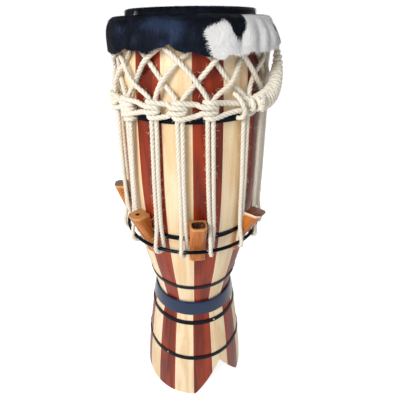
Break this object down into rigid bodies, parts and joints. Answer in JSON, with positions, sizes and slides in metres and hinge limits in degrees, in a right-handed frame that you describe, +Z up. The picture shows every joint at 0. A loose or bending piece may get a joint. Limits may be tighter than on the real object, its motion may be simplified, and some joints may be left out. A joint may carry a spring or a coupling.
{
  "type": "ceremonial ritual drum",
  "caption": "Tall waisted drum of striped hardwood staves with steel hoops, hair-on cowhide head, laced rope net, rope handle and tuning wedges.",
  "frame": {"origin": "floor level, under the middle of the whole drum's box; the drum's axis stands 4.7 mm to its right", "axes": "+Z up along the drum's axis; -Y is the front, with the black and white skirt, and the rope handle is at +X"},
  "size_m": [0.3714, 0.3882, 1.0049],
  "materials": {
    "dark_wood": "varnished",
    "pale_wood": "varnished",
    "wedge_wood": "oiled",
    "black_steel": "satin",
    "bright_steel": "worn",
    "cowhide": "hair on",
    "sisal_rope": "matte"
  },
  "bodies": {
    "root": {"body_stave_01": "dark_wood", "body_stave_03": "dark_wood", "body_stave_05": "dark_wood", "body_stave_07": "dark_wood", "body_stave_09": "dark_wood", "body_stave_11": "dark_wood", "body_stave_13": "dark_wood", "body_stave_15": "dark_wood", "body_stave_02": "pale_wood", "body_stave_04": "pale_wood", "body_stave_06": "pale_wood", "body_stave_08": "pale_wood", "body_stave_10": "pale_wood", "body_stave_12": "pale_wood", "body_stave_14": "pale_wood", "body_stave_16": "pale_wood", "foot_stave_01": "dark_wood", "foot_stave_03": "dark_wood", "foot_stave_05": "dark_wood", "foot_stave_07": "dark_wood", "foot_stave_09": "dark_wood", "foot_stave_11": "dark_wood", "foot_stave_13": "dark_wood", "foot_stave_15": "dark_wood", "foot_stave_02": "pale_wood", "foot_stave_04": "pale_wood", "foot_stave_06": "pale_wood", "foot_stave_08": "pale_wood", "foot_stave_10": "pale_wood", "foot_stave_12": "pale_wood", "foot_stave_14": "pale_wood", "foot_stave_16": "pale_wood", "upper_hoop": "black_steel", "middle_hoop": "black_steel", "lower_hoop": "black_steel", "upper_foot_hoop": "black_steel", "lower_foot_hoop": "black_steel", "waist_band": "black_steel", "tension_ring": "black_steel", "flesh_hoop": "black_steel", "upper_foot_rivet": "bright_steel", "lower_foot_rivet": "bright_steel", "cowhide_head": "cowhide", "wedge_1": "wedge_wood", "wedge_2": "wedge_wood", "wedge_3": "wedge_wood", "wedge_4": "wedge_wood", "wedge_5": "wedge_wood", "wedge_6": "wedge_wood", "wedge_7": "wedge_wood", "wedge_8": "wedge_wood", "lacing_rope": "sisal_rope", "belt_rope_front": "sisal_rope", "belt_rope_back": "sisal_rope", "rope_handle": "sisal_rope"}
  },
  "joints": []
}
